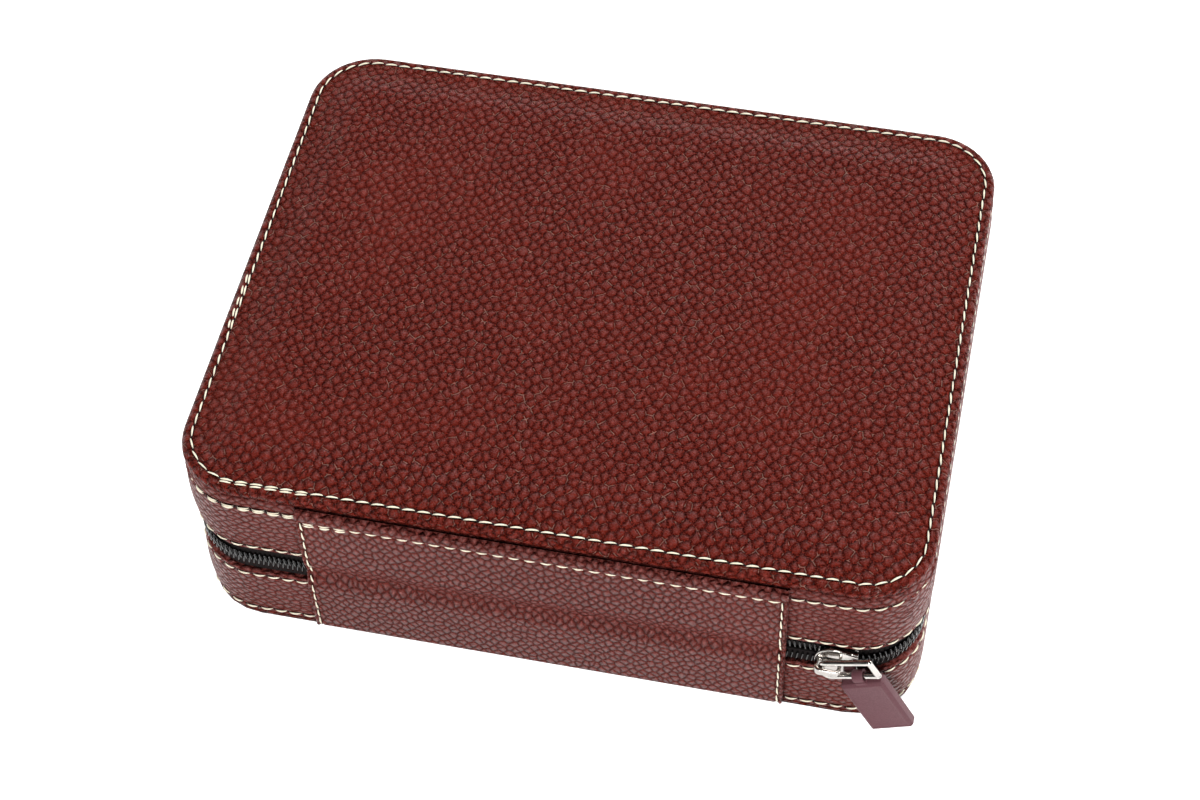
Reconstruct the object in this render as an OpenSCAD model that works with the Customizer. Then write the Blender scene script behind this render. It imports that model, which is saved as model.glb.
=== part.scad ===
// Zip-round travel case for four watches: leather over board, with a stitched spine as its hinge.
// Origin: centre of the bottom. +X along the spine, +Y away from the spine, +Z up. Millimetres.

/* [Case] */
// Width of the case along the spine
case_w = 200; // [180:1:240]
// Depth of the case, from the spine side to the back
case_d = 158; // [145:1:190]
// Corner radius seen from above
corner_r = 18; // [14:0.5:22]
// Height of the base's leather band, up to the zip
base_h = 22; // [20:0.5:28]
// Width of the zip's gap between the two leather bands
zip_gap = 11.2; // [11.2:0.2:13]
// Height of the lid's leather band, from the zip to the seam under the top
lid_band_h = 24.4; // [23:0.2:34]

/* [Walls] */
// Thickness of the leather
leather_t = 1.6; // [1.4:0.1:2]
// Thickness of the wall boards
board_t = 2.3; // [1.8:0.1:3]
// Thickness of the linings
lining_t = 0.8; // [0.5:0.1:1.2]
// Thickness of the board in the bottom
bottom_board_t = 1.8; // [1.4:0.1:3]
// Height of the bottom leather's turned-up edge
bottom_edge_h = 2; // [1.6:0.1:2.6]

/* [Top panel] */
// Thickness of the rolled rim
rim_t = 3.6; // [3.2:0.1:4.4]
// Thickness of the top panel's leather
top_leather_t = 1.3; // [1:0.1:1.5]
// Width of the stitched rim
rim_w = 3.6; // [3.5:0.1:6]
// Distance of the stitch channel from the rim's edge
channel_in = 2.7; // [2.5:0.1:2.8]
// Depth of the stitch channel
channel_depth = 0.4; // [0.2:0.1:0.6]
// Height that the padded centre stands above the rim
puff_h = 2.3; // [1:0.1:4]
// Gap of the seam under the rim
seam_gap = 0.4; // [0.2:0.1:0.8]

/* [Spine] */
// Distance from the case's end to the spine cover's edge
spine_end_gap = 34.5; // [34:0.5:50]
// Thickness of the spine cover
spine_t = 1.4; // [1:0.1:1.6]
// Distance from the lid band's top to the spine cover's top edge
spine_drop = 0.4; // [0.2:0.1:6]
// Height of the soft roll along the spine cover's top edge, above its stitches
roll_h = 4.8; // [3:0.1:7]
// Distance that the roll stands out past the spine cover's face
roll_out = 0.6; // [0.2:0.1:1]
// Depth of the crease along the fold
crease_depth = 0.7; // [0.3:0.1:0.9]

/* [Zip] */
// Width of the closed pair of coil rows
chain_w = 5.8; // [5.4:0.1:6]
// Thickness of the coil rows
coil_t = 1.5; // [1.3:0.1:1.5]
// Spacing of the teeth
tooth_pitch = 2.8; // [2.6:0.1:3.2]
// Thickness of the zip tape
tape_t = 0.5; // [0.3:0.1:0.6]
// Width of the tape that lies behind each leather band
tape_seat = 6; // [4:0.5:8]

/* [Slider and pull] */
// Distance of the slider's middle from the start of the corner
slider_setback = 3.2; // [3:0.1:4]
// Length of the slider
slider_l = 11.4; // [11:0.1:12]
// Width of the slider at its wide end
slider_w = 10.6; // [10.4:0.1:10.8]
// Diameter of the pull ring's wire
wire_d = 1.7; // [1.4:0.1:1.7]
// Length of the pull ring, between wire centres
ring_l = 14.4; // [13.6:0.1:15]
// Width of the pull ring, between wire centres
ring_w = 6.2; // [5.8:0.1:6.2]
// Sideways tilt of the pull ring
ring_tilt = 18; // [10:1:18]
// Width of the pull tab
tab_w = 12.4; // [10:0.1:12.6]
// Length of the pull tab below the ring's bar
tab_l = 23.8; // [18:0.1:24.4]
// Thickness of the pull tab
tab_t = 3.7; // [3:0.1:3.8]

/* [Inside] */
// Thickness of the tray's frame and dividers
tray_t = 3.2; // [2.4:0.2:4]
// Height of the tray's frame above the floor lining
tray_h = 37; // [26:0.5:37]
// Depth of the dividers' tops below the frame's top
divider_drop = 2; // [1:0.5:4]
// Gap between a watch pillow's end and its cell
pillow_end_gap = 3.75; // [3.5:0.25:12]
// Gap for the watch strap, along each side of a pillow
strap_gap = 5.25; // [4:0.25:10]
// Height of a watch pillow
pillow_h = 37; // [28:0.5:37]
// Thickness of the cushion in the lid
lid_pad_t = 7.4; // [4:0.2:8]

/* [Hidden] */
$fn = 64;

// Heights
zip_z = base_h + zip_gap / 2;
lid_z = base_h + zip_gap;
band_top = lid_z + lid_band_h;
panel_z = band_top + seam_gap;
rim_top = panel_z + rim_t;
panel_board_top = rim_top - top_leather_t;
bottom_leather_t = 1.2;
wall_z = bottom_leather_t + bottom_board_t;
floor_z = wall_z + lining_t;
board_setback = 0.2;
channel_half = 0.6;

// Insets of the wall's layers, measured in from the leather's face
tape_in = leather_t + tape_t;
board_in = leather_t + board_t;
lining_in = board_in + lining_t;
tray_gap = 1;
tray_in = lining_in + tray_gap;
tape_reach = zip_gap / 2 + tape_seat;
straight_w = case_w - 2 * corner_r;
straight_d = case_d - 2 * corner_r;
front_y = -case_d / 2;
spine_w = case_w - 2 * spine_end_gap;
slider_x = straight_w / 2 - slider_setback;

// Zip chain: each row is a bead with teeth that reach past the middle line
tooth_reach = 0.9;
bead_in = 1.1;
tooth_w = 1.1;
coil_gap = 0.1;
tape_edge = bead_in + 0.1;
row_spread = 1.85;
tape_tuck = 6;
chain_x0 = spine_w / 2 - tape_tuck;
slider_mouth_x = slider_x - slider_l / 2 + 0.5;
slider_mesh_x = slider_x + 1.2;

// Slider plates, measured in from the leather's face (negative is outside it)
plate_t = 0.9;
plate_gap = 0.1;
inner_plate_in = tape_in + 0.25;
flange_t = 0.7;
flange_start = 3.6;
tail_w = 7.6;
bridge_w = 2.4;
bridge_t = 0.9;
bridge_lift = 3.2;
bridge_setback = 4;

// Pull ring: round at the bridge's end, with a slanted bar at the tab's end
ring_y = front_y - 3.1;
ring_x = slider_x - 3.1;
ring_z = zip_z - 1.4;
ring_end_r = 2.2;
ring_slant = 9;
ring_knuckle = 0.08;

// Pull tab
tab_x = ring_l / 2 + 2;
tab_tilt = 8.4;
tab_top_gap = 1.95;
tab_neck_w = 3;
tab_neck_wall = 0.6;
tab_pin_gap = 0.35;
tab_chamfer = 0.5;

// Tray cells and pillows
cell_w = case_w / 2 - tray_in - tray_t - tray_t / 2;
cell_d = case_d / 2 - tray_in - tray_t - tray_t / 2;
cell_x = tray_t / 2 + cell_w / 2;
cell_y = tray_t / 2 + cell_d / 2;
divider_h = tray_h - divider_drop;
pillow_l = cell_w - 2 * pillow_end_gap;
pillow_d = cell_d - 2 * strap_gap;
pillow_seat = 0.3;
pillow_r = 15;
pillow_end = 4;
pad_gap = 0.6;

function arc_points(cx, cy, r, a0, a1, n) =
    [for (i = [0:n]) let (a = a0 + (a1 - a0) * i / n) [cx + r * cos(a), cy + r * sin(a)]];

// Height of the padded top, s inward from the outer edge
function puff_at(s) = puff_h * pow(sin(90 * min(1, max(0, (s - rim_w) / (corner_r - rim_w)))), 1.4);

puff_steps = 8;
puff_s = [for (i = [0:puff_steps]) rim_w + (corner_r - rim_w) * i / puff_steps];

// Outline of the case, moved in all round by an inset
module outline(inset) {
    w = case_w - 2 * inset;
    d = case_d - 2 * inset;
    r = corner_r - inset;
    square([w - 2 * r, d], center = true);
    square([w, d - 2 * r], center = true);
    for (x = [-1, 1], y = [-1, 1])
        translate([x * (w / 2 - r), y * (d / 2 - r)]) circle(r);
}

// Closed wall between two insets
module band(outer, inner, z0, z1) {
    translate([0, 0, z0]) linear_extrude(z1 - z0) difference() {
        outline(outer);
        outline(inner);
    }
}

module slab(inset, z0, z1) {
    translate([0, 0, z0]) linear_extrude(z1 - z0) outline(inset);
}

// Profile of [inset, height] points carried round the case's edge
module edge_sweep(points) {
    for (side = [0, 1]) mirror([0, side, 0])
        translate([-straight_w / 2, front_y, 0]) rotate([90, 0, 90])
            linear_extrude(straight_w) polygon(points);
    for (side = [0, 1]) mirror([side, 0, 0])
        translate([-case_w / 2, straight_d / 2, 0]) rotate([90, 0, 0])
            linear_extrude(straight_d) polygon(points);
    for (x = [0, 1], y = [0, 1]) mirror([x, 0, 0]) mirror([0, y, 0])
        translate([straight_w / 2, straight_d / 2, 0])
            rotate_extrude(angle = 90) polygon([for (p = points) [corner_r - p[0], p[1]]]);
}

module centre_block(z0, z1) {
    translate([-straight_w / 2, -straight_d / 2, z0]) cube([straight_w, straight_d, z1 - z0]);
}

// Cuts away the front of a wall over a width about the middle
module front_window(width, z0, z1) {
    translate([-width / 2, front_y - 1, z0]) cube([width, corner_r, z1 - z0]);
}

// ---- Lid ----

module lid_top_leather() {
    edge_r = rim_t / 2;
    lower = 0.4;
    color("#6e231c") {
        edge_sweep(concat(
            arc_points(edge_r, panel_z + edge_r, edge_r, 250, 90, 8),
            [[channel_in - channel_half, rim_top], [channel_in, rim_top - channel_depth]],
            [for (s = puff_s) [s, rim_top + puff_at(s)]],
            [for (i = [puff_steps:-1:0]) [puff_s[i], panel_board_top + puff_at(puff_s[i])]],
            [[edge_r - lower, panel_board_top], [edge_r - lower, panel_z]]
        ));
        centre_block(panel_board_top + puff_h, rim_top + puff_h);
    }
}

module lid_top_foam() {
    color("#d8cfc0") {
        edge_sweep(concat(
            [for (s = puff_s) [s, panel_board_top + puff_at(s)]],
            [[corner_r, panel_board_top]]
        ));
        centre_block(panel_board_top, panel_board_top + puff_h);
    }
}

module lid_top_board() {
    color("#9a8a72") slab(rim_t / 2 - 0.4, panel_z, panel_board_top);
}

module lid_wall_board() {
    z0 = lid_z + board_setback;
    rebate = zip_z + tape_reach + 0.2;
    color("#9a8a72") {
        band(tape_in, board_in, z0, rebate);
        band(leather_t, board_in, rebate, panel_z);
    }
}

module lid_side_leather() {
    color("#7a3a38") band(0, leather_t, lid_z, band_top);
}

module lid_wall_lining() {
    color("#2c2422") difference() {
        band(board_in, lining_in, lid_z, panel_z);
        front_window(lining_strip_w, lid_z - 1, lid_z + lining_strip_lap);
    }
}

module lid_cushion() {
    r = 2.5;
    z0 = panel_z - lid_pad_t;
    inset = lining_in + pad_gap;
    color("#2c2422") {
        edge_sweep(concat(
            [[corner_r, z0]],
            arc_points(inset + r, z0 + r, r, 270, 180, 5),
            [[inset, panel_z], [corner_r, panel_z]]
        ));
        centre_block(z0, panel_z);
    }
}

// ---- Zip ----

// Tape behind a leather band, on the side of the middle line given by up
module tape(up) {
    z0 = up > 0 ? zip_z + tape_edge : zip_z - tape_reach;
    z1 = up > 0 ? zip_z + tape_reach : zip_z - tape_edge;
    band(leather_t, tape_in, z0, z1);
}

// Everything in front of the corners' inner ends, where the upper row bends with the hinge
module front_zone() {
    translate([-case_w, front_y - 5, 0]) cube([2 * case_w, corner_r + 5, rim_top]);
}

module zip_tape_lower() {
    color("#1c1818") difference() {
        tape(-1);
        front_window(2 * chain_x0, 0, zip_z);
    }
}

module zip_tape_upper() {
    color("#1c1818") difference() {
        tape(1);
        front_zone();
    }
}

module zip_tape_upper_front() {
    color("#1c1818") difference() {
        intersection() {
            tape(1);
            front_zone();
        }
        front_window(2 * chain_x0, zip_z, rim_top);
    }
}

// One tooth's outline, pointing at +Y from the bead
function tooth(x) = [
    [x - tooth_w / 2, -bead_in], [x - tooth_w / 2, tooth_reach - 0.3], [x - tooth_w / 4, tooth_reach],
    [x + tooth_w / 4, tooth_reach], [x + tooth_w / 2, tooth_reach - 0.3], [x + tooth_w / 2, -bead_in]
];

// Teeth centres along a run, half a pitch apart on the two rows
function tooth_places(length, up) =
    let (n = floor(length / tooth_pitch), start = (length - n * tooth_pitch) / 2 + tooth_pitch / 4)
    [for (i = [0:n - 1]) start + i * tooth_pitch + (up > 0 ? tooth_pitch / 2 : 0)];

// Straight run of a row along +X, drawn for the lower row
module row_2d(length, up) {
    teeth = [for (x = tooth_places(length, up)) each tooth(x)];
    polygon(concat(
        [[0, -chain_w / 2], [0, -bead_in]], teeth, [[length, -bead_in], [length, -chain_w / 2]]
    ));
}

module row_body(up) {
    mirror([0, up > 0 ? 1 : 0, 0]) children();
}

// Stands a flat drawing up in the front wall's coil layer
module in_coil_layer(x, y) {
    translate([x, y + coil_gap + coil_t, zip_z]) rotate([90, 0, 0]) linear_extrude(coil_t) children();
}

module row_side(up) {
    in_coil_layer(0, 0) translate([-straight_d / 2, 0]) row_body(up) row_2d(straight_d, up);
}

module row_corner(up) {
    bead_h = chain_w / 2 - bead_in;
    bead_z = up > 0 ? zip_z + bead_in : zip_z - chain_w / 2;
    r0 = corner_r - coil_gap - coil_t;
    turn = tooth_pitch / (corner_r - coil_t) * 180 / PI;
    n = floor(90 / turn);
    first = (90 - n * turn) / 2 + turn / 4 + (up > 0 ? turn / 2 : 0);
    root = bead_h / 2;
    reach = bead_in + tooth_reach + root;
    tooth_z = up > 0 ? zip_z - tooth_reach : zip_z - bead_in - root;
    rotate_extrude(angle = 90) translate([r0, bead_z]) square([coil_t, bead_h]);
    for (i = [0:n - 1]) rotate([0, 0, first + i * turn])
        translate([r0 + 0.05, -tooth_w / 2, tooth_z]) cube([coil_t - 0.1, tooth_w, reach]);
}

module row_rear(up) {
    mirror([0, 1, 0]) in_coil_layer(-straight_w / 2, front_y) row_body(up) row_2d(straight_w, up);
    for (side = [0, 1]) mirror([side, 0, 0]) {
        translate([case_w / 2, 0, 0]) rotate([0, 0, 90]) row_side(up);
        translate([straight_w / 2, straight_d / 2, 0]) row_corner(up);
    }
}

module row_front_corners(up) {
    for (side = [0, 1]) mirror([side, 0, 0]) mirror([0, 1, 0])
        translate([straight_w / 2, straight_d / 2, 0]) row_corner(up);
}

module row_front_left(up) {
    run = straight_w / 2 - chain_x0;
    in_coil_layer(-straight_w / 2, front_y) row_body(up) row_2d(run, up);
}

// The rows part in front of the slider's post and close behind it
module row_front_right(up) {
    open_run = slider_mouth_x - chain_x0;
    edge = -chain_w / 2 - row_spread;
    bead = -bead_in - row_spread;
    teeth = [for (x = tooth_places(open_run, up)) each [for (p = tooth(x)) [chain_x0 + p[0], p[1] - row_spread]]];
    in_coil_layer(0, front_y) row_body(up) polygon(concat(
        [[straight_w / 2, -bead_in], [straight_w / 2, -chain_w / 2], [slider_mesh_x, -chain_w / 2]],
        [[slider_mouth_x, edge], [chain_x0, edge], [chain_x0, bead]],
        teeth,
        [[slider_mouth_x, bead], [slider_mesh_x, -bead_in]]
    ));
}

module zip_coil_lower() {
    color("#141212") {
        row_rear(-1);
        row_front_corners(-1);
        row_front_left(-1);
    }
}

module zip_coil_lower_front() {
    color("#141212") row_front_right(-1);
}

module zip_coil_upper() {
    color("#141212") row_rear(1);
}

module zip_coil_upper_front() {
    color("#141212") {
        row_front_corners(1);
        row_front_left(1);
        row_front_right(1);
    }
}

// ---- Slider and pull ----

// Shield seen from the front: a round wide end and a narrow tail
module shield(inset) {
    half = slider_w / 2 - inset;
    tail = tail_w / 2 - inset;
    centre = slider_w / 2 - slider_l / 2;
    translate([centre, 0]) circle(half);
    polygon([[centre, -half], [slider_l / 2, -tail], [slider_l / 2, tail], [centre, half]]);
}

// Places a flat drawing parallel to the front, from one inset to another
module front_layer(in0, in1) {
    translate([0, front_y + in1, 0]) rotate([90, 0, 0]) linear_extrude(in1 - in0) children();
}

module slider_body() {
    outer_in = -plate_gap - plate_t;
    left = -slider_l / 2;
    color("#c9c9cc") translate([slider_x, 0, zip_z]) {
        front_layer(outer_in, -plate_gap) shield(0);
        front_layer(inner_plate_in, inner_plate_in + plate_t) shield(0.6);
        front_layer(-plate_gap, coil_gap + 0.6) difference() {
            shield(0);
            shield(flange_t);
            translate([left - 1, -slider_w]) square([1 + flange_start, 2 * slider_w]);
            translate([slider_l / 2 - 0.01, -slider_w]) square([1, 2 * slider_w]);
        }
        front_layer(-plate_gap, inner_plate_in)
            polygon([[left + 0.9, 0], [left + 2.2, -0.8], [left + 4.2, 0], [left + 2.2, 0.8]]);
        translate([0, front_y + outer_in, -bridge_w / 2]) linear_extrude(bridge_w) difference() {
            bridge_arch(0);
            bridge_arch(bridge_t);
        }
    }
}

// Side outline of the bridge over the outer plate, moved in by an inset
module bridge_arch(inset) {
    x0 = -slider_l / 2 + 0.3 + inset;
    x1 = slider_l / 2 - bridge_setback - inset;
    top = -bridge_lift - bridge_t + inset;
    r = 1.5 - inset;
    translate([x0 + r, top]) square([x1 - x0 - 2 * r, -top]);
    translate([x0, top + r]) square([x1 - x0, -top - r]);
    for (x = [x0 + r, x1 - r]) translate([x, top + r]) circle(r);
}

// Stands the ring's own flat frame in its place: X along the ring, Y up
module in_ring_frame() {
    translate([ring_x, ring_y, ring_z]) rotate([0, -ring_tilt, 0]) rotate([90, 0, 0]) children();
}

module wire_run(x0, x1) {
    translate([x0, 0, 0]) rotate([0, 90, 0]) cylinder(d = wire_d, h = x1 - x0);
}

// Quarter bend from +X towards +Y
module wire_bend(r) {
    rotate_extrude(angle = 90) translate([r, 0]) circle(d = wire_d);
}

module pull_ring() {
    half = ring_w / 2;
    short_l = ring_l - ring_w * tan(ring_slant);
    color("#c9c9cc") in_ring_frame() {
        for (side = [0, 1]) mirror([0, side, 0]) {
            corner_x = side == 0 ? short_l : ring_l;
            translate([0, half, 0]) wire_run(ring_end_r, corner_x);
            translate([corner_x, half, 0]) sphere(d = wire_d + 2 * ring_knuckle);
            translate([ring_end_r, half - ring_end_r, 0]) mirror([1, 0, 0]) wire_bend(ring_end_r);
        }
        translate([ring_l, -half, 0]) rotate([0, 0, 90 + ring_slant]) wire_run(0, ring_w / cos(ring_slant));
        rotate([0, 0, 90]) wire_run(ring_end_r - half, half - ring_end_r);
    }
}

// Tab hung on the ring's lower run: X along its width, Y down its length
module pull_tab() {
    w = tab_w / 2;
    t = tab_t / 2;
    c = tab_chamfer;
    neck_r = wire_d / 2 + tab_pin_gap + tab_neck_wall;
    color("#73505a") in_ring_frame() mirror([0, 1, 0]) translate([tab_x, ring_w / 2, 0])
        rotate([0, 0, -tab_tilt]) difference() {
            union() {
                translate([0, tab_top_gap, 0]) rotate([-90, 0, 0]) linear_extrude(tab_l - tab_top_gap - c)
                    polygon([[-w, c - t], [c - w, -t], [w - c, -t], [w, c - t],
                             [w, t - c], [w - c, t], [c - w, t], [-w, t - c]]);
                translate([0, tab_l - c, 0]) rotate([-90, 0, 0]) linear_extrude(c)
                    square([tab_w - 2 * c, tab_t - 2 * c], center = true);
                translate([-tab_neck_w / 2, 0, 0]) rotate([0, 90, 0]) cylinder(r = neck_r, h = tab_neck_w);
                translate([-tab_neck_w / 2, 0, 0.05 - t])
                    cube([tab_neck_w, tab_top_gap + 0.5, tab_t - 0.1]);
            }
            translate([-tab_w, 0, 0]) rotate([0, 90, 0])
                cylinder(d = wire_d + 2 * tab_pin_gap, h = 2 * tab_w);
        }
}

// ---- Spine ----

lining_strip_w = spine_w - 8;
lining_strip_lap = 1.4;
spine_top = band_top - spine_drop;
spine_bottom = 1.4;
roll_steps = 8;
roll_core = spine_t - 0.4;
crease_half = zip_gap / 2 + 2;
crease_steps = 12;

module spine_cover() {
    dip = [for (i = [0:crease_steps]) let (u = -1 + 2 * i / crease_steps)
        [spine_t - crease_depth * pow(cos(90 * u), 2), zip_z + u * crease_half]];
    roll = [for (i = [0:roll_steps]) let (a = 180 * i / roll_steps)
        [roll_core + (spine_t - roll_core + roll_out) * sin(a), spine_top - roll_h * (1 + cos(a)) / 2]];
    color("#7a3a38") translate([-spine_w / 2, front_y, 0]) rotate([90, 0, 90]) linear_extrude(spine_w)
        polygon(concat(
            [[0, spine_bottom], [0.5 - spine_t, spine_bottom], [-spine_t, spine_bottom + 0.5]],
            [for (p = concat(dip, [[spine_t, spine_top - roll_h - 1]], roll)) [-p[0], p[1]]],
            [[0, spine_top]]
        ));
}

module spine_lining() {
    z0 = base_h - lining_strip_lap;
    z1 = lid_z + lining_strip_lap;
    color("#2c2422") translate([-lining_strip_w / 2, front_y + board_in, z0])
        cube([lining_strip_w, lining_t, z1 - z0]);
}

// ---- Base ----

module base_side_leather() {
    color("#7a3a38") band(0, leather_t, bottom_edge_h, base_h);
}

module base_wall_board() {
    z1 = base_h - board_setback;
    rebate = zip_z - tape_reach - 0.2;
    color("#9a8a72") {
        band(leather_t, board_in, wall_z, rebate);
        band(tape_in, board_in, rebate, z1);
    }
}

module base_wall_lining() {
    color("#2c2422") difference() {
        band(board_in, lining_in, wall_z, base_h);
        front_window(lining_strip_w, base_h - lining_strip_lap, base_h + 1);
    }
}

module base_bottom_leather() {
    edge_r = 1;
    color("#6e231c") {
        edge_sweep(concat(
            [[corner_r, 0]],
            arc_points(edge_r, edge_r, edge_r, 270, 180, 5),
            [[0, bottom_edge_h], [leather_t, bottom_edge_h]],
            [[leather_t, bottom_leather_t], [corner_r, bottom_leather_t]]
        ));
        centre_block(0, bottom_leather_t);
    }
}

module base_bottom_board() {
    color("#9a8a72") slab(leather_t, bottom_leather_t, wall_z);
}

module base_floor_lining() {
    color("#2c2422") slab(lining_in, wall_z, floor_z);
}

// ---- Tray and pillows ----

module tray_frame() {
    color("#2c2422") band(tray_in, tray_in + tray_t, floor_z, floor_z + tray_h);
}

// The dividers cross with a halving joint
module divider(length, slot_up) {
    half = divider_h / 2;
    slot = tray_t + 0.2;
    slot_z = slot_up ? floor_z + half - 0.05 : floor_z - 1;
    difference() {
        translate([-length / 2, -tray_t / 2, floor_z]) cube([length, tray_t, divider_h]);
        translate([-slot / 2, -tray_t, slot_z]) cube([slot, 2 * tray_t, half + (slot_up ? 1 : 1.05)]);
    }
}

module tray_long_divider() {
    color("#2c2422") divider(2 * cell_w + tray_t, true);
}

module tray_cross_divider() {
    color("#2c2422") rotate([0, 0, 90]) divider(2 * cell_d + tray_t, false);
}

// Rounded section of a pillow across the strap's direction
module pillow_section(inset) {
    d = pillow_d - 2 * inset;
    h = pillow_h - 2 * inset;
    r = pillow_r - inset;
    square([d - 2 * r, h], center = true);
    square([d, h - 2 * r], center = true);
    for (y = [-1, 1], z = [-1, 1])
        translate([y * (d / 2 - r), z * (h / 2 - r)]) circle(r);
}

module pillow(x, y) {
    core = pillow_l - 2 * pillow_end;
    color("#b9a58a") translate([x * cell_x, y * cell_y, floor_z + pillow_seat + pillow_h / 2]) {
        translate([-core / 2, 0, 0]) rotate([90, 0, 90]) linear_extrude(core) pillow_section(0);
        translate([-pillow_l / 2, 0, 0]) rotate([90, 0, 90]) linear_extrude(pillow_l) pillow_section(2.5);
    }
}

module watch_pillow_1() { pillow(-1, -1); }
module watch_pillow_2() { pillow(1, -1); }
module watch_pillow_3() { pillow(-1, 1); }
module watch_pillow_4() { pillow(1, 1); }

lid_top_leather();
lid_top_foam();
lid_top_board();
lid_wall_board();
lid_side_leather();
lid_wall_lining();
lid_cushion();
zip_tape_upper();
zip_coil_upper();
zip_tape_upper_front();
zip_coil_upper_front();
zip_tape_lower();
zip_coil_lower();
zip_coil_lower_front();
slider_body();
pull_ring();
pull_tab();
spine_cover();
spine_lining();
base_side_leather();
base_wall_board();
base_wall_lining();
base_bottom_leather();
base_bottom_board();
base_floor_lining();
tray_frame();
tray_long_divider();
tray_cross_divider();
watch_pillow_1();
watch_pillow_2();
watch_pillow_3();
watch_pillow_4();
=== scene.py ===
import math
import random

import bmesh
import bpy
from mathutils import Matrix, Vector


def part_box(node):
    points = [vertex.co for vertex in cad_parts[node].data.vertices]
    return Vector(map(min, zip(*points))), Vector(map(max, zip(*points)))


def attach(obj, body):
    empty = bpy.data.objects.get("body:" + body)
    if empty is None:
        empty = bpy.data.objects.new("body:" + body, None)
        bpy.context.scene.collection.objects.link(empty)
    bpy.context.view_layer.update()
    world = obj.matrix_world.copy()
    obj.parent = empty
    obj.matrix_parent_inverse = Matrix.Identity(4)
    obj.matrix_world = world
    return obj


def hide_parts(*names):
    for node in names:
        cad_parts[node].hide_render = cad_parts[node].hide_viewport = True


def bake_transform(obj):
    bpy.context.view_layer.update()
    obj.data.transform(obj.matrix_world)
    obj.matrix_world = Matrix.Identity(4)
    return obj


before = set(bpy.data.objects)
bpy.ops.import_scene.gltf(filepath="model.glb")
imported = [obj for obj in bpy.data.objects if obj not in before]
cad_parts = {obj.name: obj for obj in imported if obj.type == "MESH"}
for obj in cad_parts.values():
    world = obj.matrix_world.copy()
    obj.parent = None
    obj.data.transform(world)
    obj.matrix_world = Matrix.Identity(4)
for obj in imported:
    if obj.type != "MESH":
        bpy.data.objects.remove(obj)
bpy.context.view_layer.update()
mm = 0.001

# Every size below is in millimetres, and mm turns it into Blender's metres

case = {
    "halfWidth": 100,
    "halfDepth": 79,
    "corner": 18,
    "inmost": 17.8,         # how far in a sweep reaches before a face fills the middle
    "stitchesX": 40,        # stitches along a long side, between the corners
    "stitchesY": 30,
    "stitchesCorner": 6,
    "frontTo": -70,         # what lies nearer than this is on the front side
    "zipHeight": 27.6,
    "hingeY": -82,
}
straightX = case["halfWidth"] - case["corner"]
straightY = case["halfDepth"] - case["corner"]
upward, toFront = Vector((0, 0, 1)), Vector((0, -1, 0))


# Working with pieces

def pickNothing():
    bpy.ops.object.select_all(action="DESELECT")


def onlyPick(piece):
    if bpy.context.mode != "OBJECT":
        bpy.ops.object.mode_set(mode="OBJECT")
    pickNothing()
    piece.select_set(True)
    bpy.context.view_layer.objects.active = piece


def named(piece, name):
    piece.name = name
    piece.data.name = name
    return piece


# Makes the place, turn and size of what is picked part of its shape
def settle():
    bpy.ops.object.transform_apply(location=True, rotation=True, scale=True)


# Names and settles the shape that was just added
def added(name):
    piece = named(bpy.context.object, name)
    settle()
    return piece


def boxBetween(name, low, high):
    centre = [(a + b) / 2 * mm for a, b in zip(low, high)]
    size = [b - a for a, b in zip(low, high)]
    pickNothing()
    bpy.ops.mesh.primitive_cube_add(size=mm, location=centre, scale=size)
    return added(name)


def addObject(name, data):
    thing = bpy.data.objects.new(name, data)
    bpy.context.scene.collection.objects.link(thing)
    return thing


def joined(name, parts):
    onlyPick(parts[0])
    for part in parts:
        part.select_set(True)
    bpy.ops.object.join()
    return added(name)


# Keeps a modelled shape for copying and takes the model itself away
def takeMesh(piece):
    mesh = piece.data
    bpy.data.objects.remove(piece)
    return mesh


# With no window the operator turns the other way, so its angles have their signs swapped
def turned(piece, angle, axis):
    onlyPick(piece)
    bpy.ops.transform.rotate(value=angle, orient_axis=axis, center_override=(0, 0, 0))
    settle()


def useModifier(piece, kind, **settings):
    onlyPick(piece)
    bpy.ops.object.modifier_add(type=kind)
    modifier = piece.modifiers[-1]
    for key, value in settings.items():
        setattr(modifier, key, value)
    bpy.ops.object.modifier_apply(modifier=modifier.name)


def roundEdges(piece, width, segments=3, angle=30):
    useModifier(piece, "BEVEL", width=width * mm, segments=segments, limit_method="ANGLE",
                angle_limit=math.radians(angle))


# Makes a surface gently uneven
def ruffle(piece, name, size, amount, direction="NORMAL"):
    clouds = bpy.data.textures.new(name, "CLOUDS")
    clouds.noise_scale = size * mm
    useModifier(piece, "DISPLACE", texture=clouds, texture_coords="LOCAL", direction=direction,
                strength=amount * mm, mid_level=0.5)


def smoothFaces(piece, angle=40):
    onlyPick(piece)
    bpy.ops.object.shade_smooth_by_angle(angle=math.radians(angle))


# Working in edit mode

def workOn(piece):
    onlyPick(piece)
    bpy.ops.object.mode_set(mode="EDIT")
    bpy.ops.mesh.select_mode(type="VERT")
    bpy.ops.mesh.select_all(action="DESELECT")


def stopWork():
    bpy.ops.object.mode_set(mode="OBJECT")


def startPick(piece, kind):
    bpy.ops.mesh.select_mode(type=kind)
    bpy.ops.mesh.select_all(action="DESELECT")
    return bmesh.from_edit_mesh(piece.data)


# Picks the vertices whose place, in millimetres, passes a test
def pickWhere(piece, test):
    inside = startPick(piece, "VERT")
    for vertex in inside.verts:
        vertex.select = bool(test(vertex.co / mm))
    inside.select_flush(True)
    bmesh.update_edit_mesh(piece.data)


def pickFaces(piece, test):
    inside = startPick(piece, "FACE")
    for face in inside.faces:
        face.select = bool(test(face.calc_center_median() / mm, face.normal))
    bmesh.update_edit_mesh(piece.data)


def pickEdges(piece, test):
    inside = startPick(piece, "EDGE")
    for edge in inside.edges:
        edge.select = bool(test(edge.verts[0].co / mm, edge.verts[1].co / mm))
    bmesh.update_edit_mesh(piece.data)


def shift(x=0, y=0, z=0):
    bpy.ops.transform.translate(value=(x * mm, y * mm, z * mm))


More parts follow.
